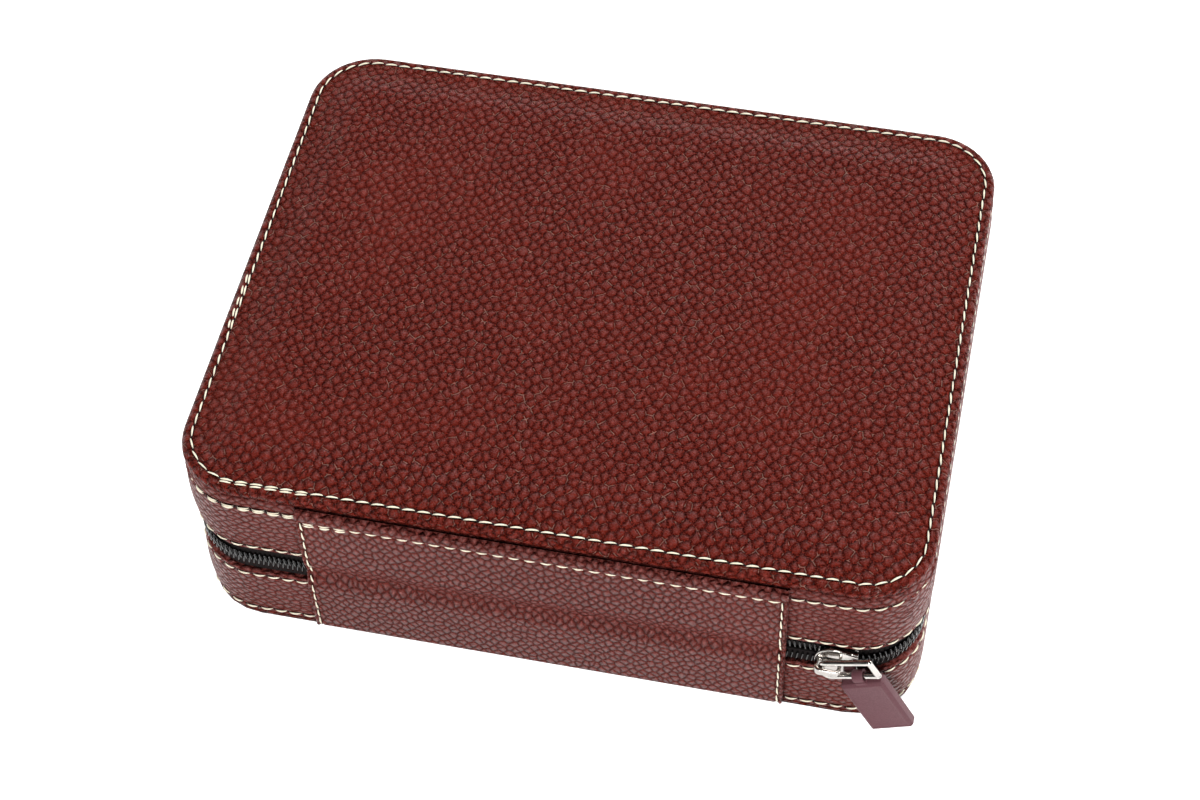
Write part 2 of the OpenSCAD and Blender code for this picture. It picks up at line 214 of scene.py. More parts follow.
def swell(amount):
    bpy.ops.transform.shrink_fatten(value=amount * mm)


def closeMesh():
    bpy.ops.mesh.select_mode(type="VERT")
    bpy.ops.mesh.select_all(action="SELECT")
    bpy.ops.mesh.remove_doubles(threshold=0.01 * mm)
    bpy.ops.mesh.normals_make_consistent(inside=False)


# Cuts what is picked along a plane across an axis
def cutPicked(axis, at, reach):
    point, normal = [0, 0, 0], [0, 0, 0]
    point[axis], normal[axis] = at * mm, 1
    bpy.ops.mesh.bisect(plane_co=point, plane_no=normal, threshold=reach * mm)


def cutAcross(axis, cuts):
    bpy.ops.mesh.select_mode(type="VERT")
    for at in cuts:
        bpy.ops.mesh.select_all(action="SELECT")
        cutPicked(axis, at, 0.01)


# Makes a hole right through a piece, with a wall of one thickness left round it
def hollowOut(piece, axis, wall):
    pickFaces(piece, lambda c, n: abs(n[axis]) > 0.9)
    bpy.ops.mesh.inset(thickness=wall * mm)
    bpy.ops.mesh.bridge_edge_loops()
    closeMesh()
    stopWork()


# Lays the leather's grain over a piece at its real size
def layGrain(piece):
    workOn(piece)
    bpy.ops.mesh.select_all(action="SELECT")
    bpy.ops.uv.cube_project(cube_size=1, correct_aspect=False)
    stopWork()


def dress(piece, slotName, material, node):
    if slotName in ("panel_leather", "side_leather"):
        layGrain(piece)
    piece.data.materials.clear()
    piece.data.materials.append(material)
    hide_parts(node)


def place(piece, body, slotName, material, node):
    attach(piece, body)
    dress(piece, slotName, material, node)


# The rounded outline

# The sides in the order they are walked: front, right, back, left. Each ends at a corner
sides = []
for x, y in ((1, 0), (0, 1), (-1, 0), (0, -1)):
    way, out = Vector((x, y, 0)), Vector((y, -x, 0))
    sides.append({
        "way": way,
        "out": out,
        "long": 2 * (straightX if x else straightY),
        "stitches": case["stitchesX" if x else "stitchesY"],
        "end": Vector(((way + out).x * straightX, (way + out).y * straightY, 0)),
    })
roundStitches = sum(s["stitches"] for s in sides) + 4 * case["stitchesCorner"]


# Point, direction and outward direction at a number of stitches from the front left
def outlineAt(station, inset):
    station = station % roundStitches
    for side in sides:
        way, out = side["way"], side["out"]
        if station < side["stitches"]:
            back = side["long"] * (1 - station / side["stitches"])
            return side["end"] + out * (case["corner"] - inset) - way * back, way, out
        station -= side["stitches"]
        if station < case["stitchesCorner"]:
            turn = Matrix.Rotation(math.pi / 2 * station / case["stitchesCorner"], 3, "Z")
            return side["end"] + turn @ out * (case["corner"] - inset), turn @ way, turn @ out
        station -= case["stitchesCorner"]


# The number of stitches from the front left to a point near the outline
def stationOf(point):
    passed = 0
    for side in sides:
        off = Vector((point.x - side["end"].x, point.y - side["end"].y, 0))
        along, outward = off.dot(side["way"]), off.dot(side["out"])
        if -side["long"] - 0.001 <= along <= 0.001 and outward > 0:
            return passed + (along / side["long"] + 1) * side["stitches"]
        passed += side["stitches"]
        if along > 0 and outward > 0:
            return passed + math.atan2(along, outward) / (math.pi / 2) * case["stitchesCorner"]
        passed += case["stitchesCorner"]
    return -1


def insetOf(point):
    overX, overY = abs(point.x) - straightX, abs(point.y) - straightY
    if overX > 0 and overY > 0:
        return case["corner"] - math.hypot(overX, overY)
    return case["corner"] - max(overX, overY)


# A profile of (inset, height) points, drawn at the front left and carried round the case
def sweepRound(name, points, closed=True, cutsPerStitch=2):
    pickNothing()
    bpy.ops.mesh.primitive_plane_add(size=mm)
    piece = added(name)
    workOn(piece)
    bpy.ops.mesh.select_all(action="SELECT")
    bpy.ops.mesh.merge(type="CENTER")
    shift(-straightX, points[0][0] - case["halfDepth"], points[0][1])
    route = points + [points[0]] if closed else points
    for before, after in zip(route, route[1:]):
        step = (0, (after[0] - before[0]) * mm, (after[1] - before[1]) * mm)
        bpy.ops.mesh.extrude_vertices_move(TRANSFORM_OT_translate={"value": step})
    bpy.ops.mesh.select_all(action="SELECT")
    if closed:
        bpy.ops.mesh.remove_doubles(threshold=0.001 * mm)
    for side in sides:
        cuts = max(1, round(side["stitches"] * cutsPerStitch))
        step = [side["long"] * mm / cuts * w for w in side["way"]]
        for _ in range(cuts):
            bpy.ops.mesh.extrude_edges_move(TRANSFORM_OT_translate={"value": step})
        steps = max(6, round(case["stitchesCorner"] * cutsPerStitch))
        bpy.ops.mesh.spin(steps=steps, angle=-math.pi / 2, center=[c * mm for c in side["end"]],
                          axis=(0, 0, 1))
    closeMesh()
    return piece


# Fills the middle that a sweep leaves open at a height
def capFlat(piece, height, beyond=case["inmost"] - 0.1):
    pickEdges(piece, lambda a, b: max(abs(a.z - height), abs(b.z - height)) < 0.01
              and min(insetOf(a), insetOf(b)) > beyond)
    bpy.ops.mesh.edge_face_add()


# Sinks the leather along a row, where the thread goes through between stitches
def drawIn(piece, onRow, depth, share=0.25):
    def atHole(point):
        if not onRow(point):
            return False
        station = stationOf(point)
        return abs(station - round(station)) < share
    pickWhere(piece, atHole)
    swell(-depth)


def arc(centre, radius, start, end, steps):
    turns = [math.radians(start + (end - start) * i / steps) for i in range(steps + 1)]
    return [(centre[0] + radius * math.cos(t), centre[1] + radius * math.sin(t)) for t in turns]


# Materials

# Nodes being wired together: sockets are linked, numbers and colours are set
class Recipe:
    def __init__(self, holder):
        holder.use_nodes = True
        self.holder = holder
        self.tree = holder.node_tree

    def put(self, socket, value):
        if isinstance(value, bpy.types.NodeSocket):
            self.tree.links.new(value, socket)
        elif socket.type == "RGBA":
            socket.default_value = (*value, 1)
        else:
            socket.default_value = value

    def feed(self, node, **inputs):
        for key, value in inputs.items():
            self.put(node.inputs[key.replace("_", " ")], value)

    def add(self, kind, **settings):
        node = self.tree.nodes.new("ShaderNode" + kind)
        for key, value in settings.items():
            setattr(node, key, value)
        return node

    def where(self, kind="Object"):
        return self.add("TexCoord").outputs[kind]

    def calc(self, operation, first, second=0):
        node = self.add("Math", operation=operation)
        self.put(node.inputs[0], first)
        self.put(node.inputs[1], second)
        return node.outputs[0]

    def remap(self, value, low, high, newLow, newHigh, smooth=True):
        node = self.add("MapRange", interpolation_type="SMOOTHSTEP" if smooth else "LINEAR")
        self.feed(node, Value=value, From_Min=low, From_Max=high, To_Min=newLow, To_Max=newHigh)
        return node.outputs["Result"]

    def mix(self, share, first, second):
        node = self.add("Mix", data_type="RGBA")
        for index, value in ((0, share), (6, first), (7, second)):
            self.put(node.inputs[index], value)
        return node.outputs[2]

    def noise(self, spot, scale, detail=2, roughness=0.5, output="Fac"):
        node = self.add("TexNoise")
        self.feed(node, Vector=spot, Scale=scale, Detail=detail, Roughness=roughness)
        return node.outputs[output]

    def bump(self, height, depth):
        node = self.add("Bump")
        self.feed(node, Height=height, Strength=1, Distance=depth * mm)
        return node.outputs["Normal"]

    def finish(self, **inputs):
        self.feed(self.tree.nodes["Principled BSDF"], **inputs)
        return self.holder


def newRecipe(name):
    return Recipe(bpy.data.materials.new(name))


def toned(colour, factor):
    return tuple(min(1, c * factor) for c in colour)


leatherGrain = {
    "pebble": 2.35,         # width of a pebble of the grain
    "chance": 0.62,         # how irregular the pebbles are
    "stretch": (0.94, 0.86, 1),
    "turn": 0.8,
    "wander": 1.0,          # how far the grain strays from a plain cell pattern
    "depth": 3.0,
    "gloss": 0.27,
    "shine": 0.15,
    "paintedShade": 0.22,          # painted shade: darkness of the colour down in the creases
    "glintMarks": 1.55,           # lightness of the fine marks in them, a painted glint of light caught in the creases
    "fleck": 0.55,          # share of the painted glint left along the middle of the creases
    "hollow": 3.2,          # how far off the surroundings reach for the painted shade that darkens a hollow
}
sideGrain = {**leatherGrain, "pebble": 1.85, "stretch": (0.80, 1.05, 1), "gloss": 0.33,
             "shine": 0.50, "depth": 2.9, "paintedShade": 0.60, "fleck": 0.2}
coverGrain = {**sideGrain, "pebble": 2.05, "stretch": (1.0, 0.84, 1), "depth": 3.7, "paintedShade": 0.52}


# Grain of domed pebbles parted by soft creases, with fine pores over them. Painted shade and glints
# are laid in the creases, and painted shade in hollows
def leatherMaterial(name, grain, colour, crease):
    made = newRecipe(name)
    spot = made.where("UV")
    mapping = made.add("Mapping")
    made.feed(mapping, Vector=spot, Rotation=(0, 0, grain["turn"]), Scale=grain["stretch"])
    strayed = mapping.outputs[0]
    for scale, share in ((110, 1.0), (620, 0.35)):
        wander = made.noise(mapping.outputs[0], scale, 1, output="Color")
        away = made.add("VectorMath", operation="MULTIPLY_ADD")
        reach = (share * grain["wander"] * mm,) * 3
        for index, value in enumerate((wander, reach, strayed)):
            made.put(away.inputs[index], value)
        strayed = away.outputs[0]
    cells = {}
    for kind, feature, finer, chance in (("edge", "DISTANCE_TO_EDGE", 1, grain["chance"]),
                                         ("centre", "F1", 1, grain["chance"]),
                                         ("fine", "DISTANCE_TO_EDGE", 2.3, 1)):
        texture = made.add("TexVoronoi", feature=feature, voronoi_dimensions="2D")
        made.feed(texture, Vector=strayed, Scale=finer / (grain["pebble"] * mm), Randomness=chance)
        cells[kind] = texture.outputs["Distance"]
    pores = made.noise(spot, 2000, 4, 0.7)
    valley = made.remap(cells["edge"], 0.0, 0.30, 0, 1)
    wrinkle = made.remap(cells["fine"], 0.0, 0.14, 0, 1)
    bulge = made.remap(cells["centre"], 0.0, 0.75, 0, 1, smooth=False)
    dome = made.calc("SUBTRACT", 1, made.calc("POWER", bulge, 2.0))
    height = made.calc("MULTIPLY", dome, 0.7)
    for part, share in ((valley, 0.22), (wrinkle, 0.14), (pores, 0.12)):
        height = made.calc("ADD", height, made.calc("MULTIPLY", part, share))
    # Painted shade and painted light down in the creases: a noise makes fine marks there darker or
    # lighter than the pebbles
    glintMarks = made.remap(pores, 0.48, 0.62, 0, 1)
    low = made.mix(glintMarks, toned(colour, grain["paintedShade"]), toned(colour, grain["glintMarks"]))
    body = made.mix(valley, low, colour)
    # Painted highlight: broken pale lines, in the crease colour, along the middle of the creases
    line = made.remap(cells["edge"], 0.0, 0.08, 1, 0)
    brokenGlint = made.remap(made.noise(spot, 420, 1), 0.54, 0.64, 0, grain["fleck"])
    body = made.mix(made.calc("MULTIPLY", line, brokenGlint), body, crease)
    # Painted shade: where ambient occlusion finds a hollow, such as the seam under the rim, the
    # colour goes near black
    hollow = made.add("AmbientOcclusion", samples=6)
    made.feed(hollow, Distance=grain["hollow"] * mm)
    shadow = made.remap(hollow.outputs["AO"], 0.36, 0.86, 1.0, 0)
    body = made.mix(shadow, body, toned(colour, 0.02))
    patches = made.remap(made.noise(spot, 26, 3), 0.40, 0.75, 0.0, 0.4)
    gleam = made.remap(valley, 0.2, 1.0, 0.03, grain["shine"])
    return made.finish(
        Base_Color=made.mix(patches, body, toned(colour, 1.18)),
        Roughness=made.remap(pores, 0.3, 0.7, grain["gloss"] - 0.05, grain["gloss"] + 0.07),
        Specular_IOR_Level=made.calc("MULTIPLY", gleam, made.calc("SUBTRACT", 1, shadow)),
        Normal=made.bump(height, grain["depth"]))


def threadMaterial(name, colour, paintedShade):
    made = newRecipe(name)
    wave = made.add("TexWave", bands_direction="DIAGONAL")
    made.feed(wave, Vector=made.where("UV"), Scale=3.2, Distortion=0.4, Detail=1.0)
    twist = wave.outputs["Fac"]
    fuzz = made.calc("MULTIPLY", made.noise(made.where(), 5200), 0.35)
    # Painted shade: the thread's colour goes darker in the grooves of its twist
    share = made.remap(twist, 0.15, 0.8, 0, 1)
    return made.finish(Base_Color=made.mix(share, paintedShade, colour), Roughness=0.55,
                       Sheen_Weight=0.15, Normal=made.bump(made.calc("ADD", twist, fuzz), 0.06))


def wovenMaterial(name, colour, rib, depth):
    made = newRecipe(name)
    spot = made.where()
    threads = []
    for way in ("X", "Y", "Z"):
        wave = made.add("TexWave", bands_direction=way)
        made.feed(wave, Vector=spot, Scale=0.31416 / (rib * mm), Distortion=0.3)
        threads.append(wave.outputs["Fac"])
    across = made.calc("MAXIMUM", threads[0], threads[1])
    weave = made.calc("MULTIPLY", threads[2], across)
    # Painted shade: the raised threads are lighter and the gaps between them darker
    return made.finish(Base_Color=made.mix(weave, colour, toned(colour, 2.2)), Roughness=0.8,
                       Specular_IOR_Level=0.12, Normal=made.bump(weave, depth))


def nylonMaterial(name, colour, gloss):
    made = newRecipe(name)
    marks = made.noise(made.where(), 900, 3)
    return made.finish(Base_Color=made.mix(marks, colour, toned(colour, 2)),
                       Roughness=made.remap(marks, 0.3, 0.7, gloss - 0.06, gloss + 0.1),
                       Specular_IOR_Level=0.85, Normal=made.bump(marks, 0.03))


def metalMaterial(name, colour, gloss):
    made = newRecipe(name)
    spot = made.where()
    handling = made.noise(spot, 420, 4)
    tarnish = made.remap(handling, 0.45, 0.8, 0, 1)
    return made.finish(Base_Color=made.mix(tarnish, colour, toned(colour, 0.8)), Metallic=1.0,
                       Roughness=made.remap(handling, 0.3, 0.75, gloss, gloss + 0.14),
                       Normal=made.bump(made.noise(spot, 260, 1), 0.05))


def grainedMaterial(name, colour, size, depth, gloss, sheen=0.0, blotch=0.25, shine=0.5):
    made = newRecipe(name)
    spot = made.where()
    grain = made.noise(spot, 1 / (size * mm), 3)
    share = made.remap(made.noise(spot, 45, 3), 0.35, 0.65, 0, 1)
    ground = made.mix(share, toned(colour, 1 - blotch), colour)
    fleck = made.remap(grain, 0.3, 0.7, 0, 0.5)
    return made.finish(Base_Color=made.mix(fleck, ground, toned(colour, 1.25)),
                       Roughness=made.remap(grain, 0.3, 0.7, gloss + 0.08, gloss - 0.06),
                       Sheen_Weight=sheen, Sheen_Roughness=0.35, Specular_IOR_Level=shine,
                       Normal=made.bump(grain, depth))


# The crease colours, the top's (0.50, 0.28, 0.22) and this one for the sides and cover, are painted
# glints
sideCreaseGlint = (0.32, 0.15, 0.13)
topLeather = leatherMaterial("topLeather", leatherGrain, (0.172, 0.0165, 0.0092),
                             (0.50, 0.28, 0.22))
# Painted sheen: the sides' and cover's copies of the leather are lighter and pinker than the top's,
# for the pale haze the sides catch
sideLeather = leatherMaterial("sideLeather", sideGrain, (0.215, 0.044, 0.036), sideCreaseGlint)
coverLeather = leatherMaterial("coverLeather", coverGrain, (0.225, 0.046, 0.037), sideCreaseGlint)
thread = threadMaterial("creamThread", (1.0, 0.95, 0.80), (0.80, 0.68, 0.46))
holeShade = grainedMaterial("needleHoleShade", (0.012, 0.004, 0.004), 0.4, 0.02, 0.9)
tapeCloth = wovenMaterial("tapeCloth", (0.008, 0.006, 0.006), 0.55, 0.12)
coilNylon = nylonMaterial("coilNylon", (0.002, 0.0016, 0.0016), 0.15)
nickel = metalMaterial("nickel", (0.58, 0.55, 0.52), 0.12)
tabPlastic = grainedMaterial("tabPlastic", (0.100, 0.037, 0.045), 0.30, 0.05, 0.5, blotch=0.1,
                             shine=0.22)
velvet = grainedMaterial("velvet", (0.036, 0.022, 0.018), 0.28, 0.10, 0.85, sheen=0.5)
suede = grainedMaterial("suede", (0.50, 0.36, 0.23), 0.40, 0.12, 0.82, sheen=0.4, blotch=0.12)
# Board colour, darker than bare greyboard so that the seam under the rim, where the board shows
# through, reads black: partly painted shade
cardAndSeamShade = grainedMaterial("cardAndSeamShade", (0.045, 0.030, 0.024), 0.9, 0.05, 0.85)
foamRubber = grainedMaterial("foamRubber", (0.72, 0.66, 0.55), 0.7, 0.30, 0.9)
print("materials ready")


# Top panel
topPanel = {
    "under": 58.35,         # height of the seam under the rim
    "underFrom": 1.4,       # how far in the seam goes
    "welt": 0.42,           # radius of the edge that shows in the seam
    "rim": 61.6,
    "rollRadius": 1.8,
    "rimOut": 0.5,          # how far the roll of the rim stands out past the sides
    "channelIn": 2.3,       # distance of the stitches from the sides
    "channelDrop": 0.45,
    "puffFrom": 3.4,
    "puffRise": 2.3,
    "puffCuts": (3.8, 4.6, 5.6, 6.8, 8.2, 9.8, 11.5, 13.2, 15.0, 16.6, case["inmost"]),
    "wave": 0.35,           # gentle unevenness of the padded middle
    "waveSize": 45,
    "drawIn": 0.2,
}


def puffAt(inset):
    share = (inset - topPanel["puffFrom"]) / (case["corner"] - topPanel["puffFrom"])
    return topPanel["puffRise"] * math.sin(math.pi / 2 * min(1, max(0, share))) ** 1.25


def makeTop():
    p = topPanel
    r, under, rim = p["rollRadius"], p["under"], p["rim"]
    channel, drop = p["channelIn"], p["channelDrop"]
    profile = [(p["underFrom"], under), (0.6, under)]
    profile += arc((0.1, under + p["welt"]), p["welt"], 270, 90, 6)
    profile += arc((r - p["rimOut"], rim - r), r, 215, 90, 10)
    profile += [(channel - 0.55, rim - 0.06), (channel - 0.2, rim - 0.8 * drop),
                (channel, rim - drop), (channel + 0.25, rim - 0.7 * drop),
                (channel + 0.55, rim - 0.05)]
    profile += [(inset, rim + puffAt(inset)) for inset in p["puffCuts"]]
    piece = sweepRound("topLeather", profile, closed=False)
    middle = rim + puffAt(case["inmost"])
    innerEdge = case["halfDepth"] - case["inmost"]
    capFlat(piece, middle)
    for axis, half, count in ((0, straightX, case["stitchesX"]), (1, straightY, case["stitchesY"])):
        for i in range(0, count * 2 + 1, 4):
            pickFaces(piece, lambda c, n: c.z > middle - 0.05 and abs(c.y) < innerEdge)
            cutPicked(axis, -half + half * i / count, 0.02)
    capFlat(piece, under, p["underFrom"] - 0.1)
    closeMesh()
    drawIn(piece, lambda q: abs(insetOf(q) - channel) < 0.1 and q.z > under + 2, p["drawIn"])
    stopWork()
    ruffle(piece, "softWaves", p["waveSize"], p["wave"], "Z")
    smoothFaces(piece, 60)
    place(piece, "lid", "panel_leather", topLeather, "lid_top_leather")


makeTop()
print("top panel made")


# Side bands
bands = {
    "lidBand": {"low": 33.2, "high": 57.3, "rows": (34.6, 53.2), "node": "lid_side_leather",
                "body": "lid", "topRound": 1.5, "bulge": 1.1},
    "baseBand": {"low": 2.0, "high": 22.0, "rows": (3.6, 20.6), "node": "base_side_leather",
                 "body": "base", "topRound": 0.55, "bulge": 0.7},
}
bandSkin = {
    "thick": 1.6,
    "round": 0.55,
    "channel": 0.28,        # depth of the channel that a row of stitches lies in
    "channelHalf": 0.8,
    "drawIn": 0.14,
    "cut": 1.3,             # height between the cuts, and the finer one near the rows
    "fineCut": 0.27,
    "fineReach": 1.2,
    "bulgeSteps": 6,
}


def channelAt(gap):
    share = min(1, abs(gap) / bandSkin["channelHalf"])
    return bandSkin["channel"] * (1 - share * share) ** 2


# How much of the bulge a place on the outline has: all at the back and sides, none in front
def bulgeShare(station):
    front = case["stitchesX"]
    if station < front:
        return 0
    past = min(station - front, roundStitches - station) / case["stitchesCorner"]
    return math.sin(math.pi / 2 * min(1, past)) ** 2


def makeBand(name, spec):
    p = bandSkin
    r, thick, top, steps = p["round"], p["thick"], spec["topRound"], p["bulgeSteps"]
    low, high, rows = spec["low"], spec["high"], spec["rows"]
    heights = [low + r + 0.3]
    while heights[-1] < high - r - 0.4:
        nearest = min(abs(heights[-1] - row) for row in rows)
        heights.append(heights[-1] + p["fineCut" if nearest < p["fineReach"] else "cut"])
    face = [(max(channelAt(z - row) for row in rows), z) for z in heights if z < high - top - 0.2]
    profile = arc((r, low + r), r, 270, 180, 4) + face
    profile += arc((top, high - top), top, 180, 90, 5) + [(thick, high), (thick, low)]
    piece = sweepRound(name, profile)
    for _, z in face:
        rise = spec["bulge"] * math.sin(math.pi * (z - low) / (high - low)) ** 0.8
        for step in range(1, steps + 1):
            pickWhere(piece, lambda q: abs(q.z - z) < 0.05 and insetOf(q) < thick - 0.5
                      and round(bulgeShare(stationOf(q)) * steps) == step)
            swell(rise * step / steps)
    for row in rows:
        drawIn(piece, lambda q: abs(q.z - row) < 0.14 and insetOf(q) < 0.5, p["drawIn"])
    stopWork()
    smoothFaces(piece, 50)
    place(piece, spec["body"], "side_leather", sideLeather, spec["node"])


for bandName, bandSpec in bands.items():
    makeBand(bandName, bandSpec)
print("side bands made")


# Bottom
bottomPan = {"thick": 1.2, "edge": 2.0, "round": 1.0, "lipWide": 1.6}


def makeBottom():
    p = bottomPan
    r, thick, edge, inmost = p["round"], p["thick"], p["edge"], case["inmost"]
    profile = [(inmost, 0)] + arc((r, r), r, 270, 180, 6)
    profile += [(0, edge - 0.2), (0.2, edge), (p["lipWide"], edge), (p["lipWide"], thick),
                (inmost, thick)]
    piece = sweepRound("bottomLeather", profile, closed=False, cutsPerStitch=0.5)
    capFlat(piece, 0)
    capFlat(piece, thick)
    closeMesh()
    stopWork()
    smoothFaces(piece)
    place(piece, "base", "panel_leather", topLeather, "base_bottom_leather")


makeBottom()
print("bottom made")


# Spine cover
spine = {
    "half": 65.5,
    "low": 1.4,
    "top": 57.2,
    "thick": 1.4,
    "row": 52.4,            # height of the stitches along the top
    "rowCount": 30,
    "columnIn": 1.5,        # distance of the side stitches from the edge
    "columnCount": 12,
    "channel": 0.32,
    "channelHalf": 0.9,
    "rollOut": 0.75,
    "rollStart": 0.35,
    "behindRoll": 1.7,      # how far the cover falls away behind its roll
    "puff": 0.5,
    "edgeRound": 1.0,
    "edgeDrop": 0.75,
    "hem": 1.2,             # width of the turned edge outside the side stitches
    "hemRise": 0.38,
    "crease": 1.5,
    "creaseAt": 28.5,
    "creaseHalf": 6.0,
    "foldFrom": 22.0,
    "foldTo": 33.2,
}
acrossRow = (-0.9, -0.5, -0.2, 0, 0.2, 0.5, 0.9)


def coverChannel(gap):
    return spine["channel"] * max(0, 1 - (abs(gap) / spine["channelHalf"]) ** 2) ** 2


# How far the cover's face stands out at a height
def coverRise(z):
    p = spine
    out = p["thick"]
    if z > p["row"]:
        share = (z - p["row"]) / (p["top"] - p["row"])
        roll = math.sin(math.pi * min(1, share * 1.02)) ** 0.6
        out += (p["rollStart"] + p["rollOut"]) * roll - p["rollStart"]
        if share > 0.86:
            out -= 1.5 * (share - 0.86) / 0.14
    else:
        out -= coverChannel(z - p["row"])
    if z < p["row"]:
        out += p["puff"] * math.sin(math.pi * (z - p["low"]) / (p["row"] - p["low"]))
    fold = abs(z - p["creaseAt"]) / p["creaseHalf"]
    if fold < 1:
        out -= p["crease"] * math.cos(math.pi / 2 * fold) ** 2
    if z < p["low"] + 1:
        out -= 0.5 * (1 - (z - p["low"]))
    return max(0.3, out)


# How far the face is drawn in at a place across: at the side stitches and round the edges
def coverDip(x):
    p = spine
    edge = p["half"] - abs(x)
    dip = coverChannel(edge - p["columnIn"])
    if edge < p["edgeRound"]:
        dip += p["edgeDrop"] * (1 - math.sqrt(max(0, 1 - (1 - edge) ** 2)))
    if edge < p["hem"]:
        dip -= p["hemRise"] * math.sin(math.pi * edge / p["hem"])
    return dip


# Makes the place of a piece over the hinge part of its shape; it is not attached to the base or the
# lid
def foldWithLid(piece):
    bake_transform(piece)


def makeSpineCover():
    p = spine
    half, low, top, row, wall = p["half"], p["low"], p["top"], p["row"], -case["halfDepth"]
    columnX = half - p["columnIn"]
    piece = boxBetween("spineCover", (-half, wall - p["thick"], low), (half, wall, top))
    edgeCuts = [0, 0.15, 0.4, 0.7, 1.0] + [p["columnIn"] + c for c in acrossRow]
    across = [s * (half - c) for c in edgeCuts for s in (-1, 1)]
    pitch = 2 * (columnX - 1) / p["rowCount"]
    across += [1 - columnX + pitch * i for i in range(1, p["rowCount"])]
    across = sorted({round(x, 2) for x in across})
    up = [low + c for c in (0, 0.25, 0.6, 1.0)] + [2 + 2.05 * i for i in range(1, 24)]
    up += [row + c for c in (*acrossRow, 1.4, 2.0, 2.6, 3.2, 3.7, 4.1, 4.4, 4.65)]
    up = [z for z in up if z < top] + [top]
    workOn(piece)
    cutAcross(0, across[1:-1])
    cutAcross(2, sorted(up)[1:-1])
    for z in up:
        pickWhere(piece, lambda q: q.y < wall - 0.1 and abs(q.z - z) < 0.03)
        shift(y=p["thick"] - coverRise(z))
    # The roll above the stitches keeps its shape but for its ends
    for x in across:
        whole = half - abs(x) < p["edgeRound"]
        pickWhere(piece, lambda q: q.y < wall - 0.1 and abs(q.x - x) < 0.03
                  and (whole or q.z < row + 1))
        shift(y=coverDip(x))
    pickWhere(piece, lambda q: q.y > wall - 0.05 and q.z > top - 0.05)
    shift(z=-p["behindRoll"])
    closeMesh()
    stopWork()
    smoothFaces(piece, 55)
    dress(piece, "side_leather", coverLeather, "spine_cover")
    foldWithLid(piece)


def makeSpineLining():
    low, high = (Vector(corner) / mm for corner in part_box("spine_lining"))
    piece = boxBetween("spineLining", low, high)
    workOn(piece)
    cutAcross(2, [low.z + 0.8 * i for i in range(1, 17)])
    cutAcross(0, [-60 + 4 * i for i in range(31)])
    stopWork()
    roundEdges(piece, 0.2, 2)
    smoothFaces(piece)
    dress(piece, "lining", velvet, "spine_lining")
    foldWithLid(piece)


makeSpineCover()
makeSpineLining()
print("spine made")


# Stitches
stitch = {
    "long": 3.65,
    "wide": 0.52,
    "high": 0.48,
    "lean": 6,
    "hole": 0.30,
    "spread": 0.8,          # distance between the two rows where they are doubled
    # Place along each half, then height there and share of the width
    "shape": ((0, 0.34, 1.0), (0.3, 0.306, 0.96), (0.6, 0.204, 0.78), (0.85, 0.1, 0.5),
              (1, -0.35, 0.24)),
}


# One stitch along X: fat in the middle, its ends drawn down into their needle holes
def stitchMesh():
    p = stitch
    half, flat = p["long"] / 2, p["high"] / p["wide"]
    pickNothing()
    bpy.ops.mesh.primitive_cylinder_add(vertices=8, radius=p["wide"] / 2 * mm,
                                        depth=p["long"] * mm, end_fill_type="TRIFAN",
                                        rotation=(0, math.pi / 2, 0))
    piece = added("stitch")
    workOn(piece)
    cutAcross(0, [share * half for share in (-0.85, -0.6, -0.3, 0, 0.3, 0.6, 0.85)])
    for reach, rise, width in p["shape"]:
        for sign in (-1, 1) if reach else (1,):
            at = sign * reach * half
            pickWhere(piece, lambda q: abs(q.x - at) < 0.1)
            size = (1, width, width * flat)
            bpy.ops.transform.resize(value=size, center_override=(at * mm, 0, 0))
            shift(z=rise)
    stopWork()
    onlyPick(piece)
    bpy.ops.object.shade_smooth()
    piece.data.materials.append(thread)
    parts = [piece]
    # Painted shade: a flat dark blob at each end stands for the shade down in the needle hole
    for sign in (-1, 1):
        pickNothing()
        bpy.ops.mesh.primitive_ico_sphere_add(subdivisions=1, radius=p["hole"] * mm,
                                              location=(sign * (half + 0.1) * mm, 0, -0.05 * mm))
        hole = bpy.context.object
        hole.scale = (1, 0.9, 0.35)
        hole.data.materials.append(holeShade)
        parts.append(hole)
    return takeMesh(joined("stitch", parts))


oneStitch = stitchMesh()
dice = random.Random(7)


# A row of stitches, each a copy of the one modelled, joined into one piece
def stitchRow(name, places):
    copies = []
    for point, along, out in places:
        side = out.cross(along).normalized()
        turn = Matrix((along, side, out)).transposed().to_4x4()
        lean = Matrix.Rotation(math.radians(stitch["lean"] + dice.uniform(-2.5, 2.5)), 4, "Z")
        size = Matrix.Diagonal((dice.uniform(0.95, 1.04), dice.uniform(0.92, 1.06), 1, 1))
        copy = addObject(name, oneStitch.copy())
        copy.matrix_world = Matrix.Translation(point * mm) @ turn @ lean @ size
        copies.append(copy)
    return joined(name, copies)


def clearOfCover(point):
    return point.y > case["frontTo"] or abs(point.x) > spine["half"] - 1


def topDoubled(point):
    nearCorner = point.y < case["frontTo"] and -87 < point.x < -62
    return nearCorner or point.x < -90 and -30 < point.y < -10


def frontLeftDoubled(point):
    return point.y < case["frontTo"] and point.x < -66


rows = {
    "topStitches": {"inset": topPanel["channelIn"], "z": topPanel["rim"] - 0.22, "body": "lid",
                    "onTop": True, "doubled": topDoubled},
    "lidUpperStitches": {"inset": -0.02, "z": 53.2, "body": "lid", "doubled": frontLeftDoubled},
    "lidLowerStitches": {"inset": 0.12, "z": 34.6, "body": "lid"},
    "baseUpperStitches": {"inset": 0.12, "z": 20.6, "body": "base"},
    "baseLowerStitches": {"inset": 0.08, "z": 3.6, "body": "base"},
}


